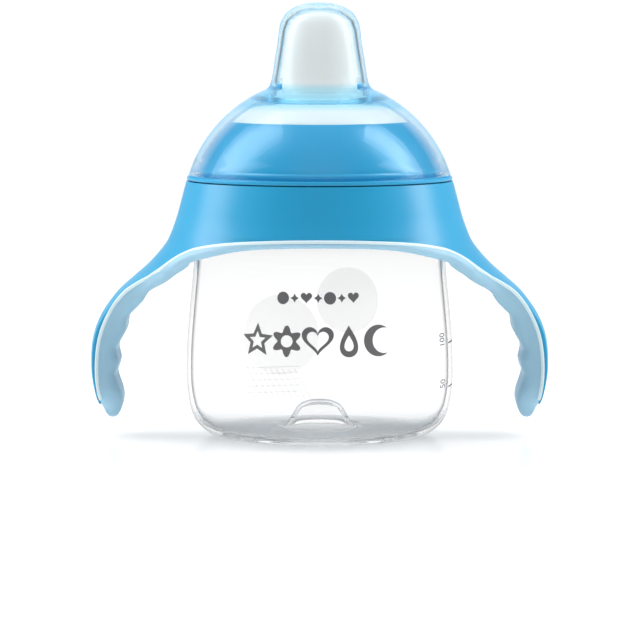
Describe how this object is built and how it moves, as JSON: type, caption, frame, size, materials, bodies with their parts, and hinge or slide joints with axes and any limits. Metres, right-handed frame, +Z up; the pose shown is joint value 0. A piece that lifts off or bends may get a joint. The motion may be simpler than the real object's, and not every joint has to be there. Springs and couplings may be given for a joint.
{
  "type": "sippy cup",
  "caption": "Clear toddler's sippy cup with a screw ring, a pair of soft-grip handles, a soft spout, a push-in spill valve and a clear press-on travel cap.",
  "frame": {"origin": "middle of the cup's base, on the surface that it stands on", "axes": "+Z up along the cup's axis, +X towards one handle, +Y towards the back of the cup"},
  "size_m": [0.1284, 0.0844, 0.1213],
  "materials": {
    "clear_plastic": "clear, polished",
    "cap_plastic": "clear with a light blue tint, polished",
    "blue_plastic": "semi-gloss moulded",
    "soft_grip": "satin rubber",
    "silicone": "translucent satin",
    "valve_plastic": "semi-gloss moulded"
  },
  "bodies": {
    "cup": {"cup_body": "clear_plastic"},
    "spout": {"soft_spout": "silicone"},
    "collar": {"screw_ring": "blue_plastic", "handle_frame": "blue_plastic", "soft_grip_trim": "soft_grip"},
    "cap": {"travel_cap": "cap_plastic"},
    "valve": {"valve_housing": "valve_plastic"},
    "valve_lower": {"valve_holder": "valve_plastic", "valve_diaphragm": "silicone"}
  },
  "joints": [
    {"name": "collar_lift", "type": "slide", "parent": "cup", "child": "spout", "axis": [0, 0, 1], "range_m": [0, 0.005]},
    {"name": "collar_turn", "type": "hinge", "parent": "spout", "child": "collar", "pos_m": [0, 0, 0.0675], "axis": [0, 0, 1], "range_deg": [0, 360]},
    {"name": "cap_pull", "type": "slide", "parent": "collar", "child": "cap", "axis": [0, 0, 1], "range_m": [0, 0.055]},
    {"name": "valve_pull", "type": "slide", "parent": "spout", "child": "valve", "axis": [0, 0, -1], "range_m": [0, 0.03]},
    {"name": "valve_split", "type": "slide", "parent": "valve", "child": "valve_lower", "axis": [0, 0, -1], "range_m": [0, 0.009]}
  ],
  "couplings": [
    {"joint": "collar_lift", "follows": "collar_turn", "m_per_rad": 0.00079577}
  ]
}
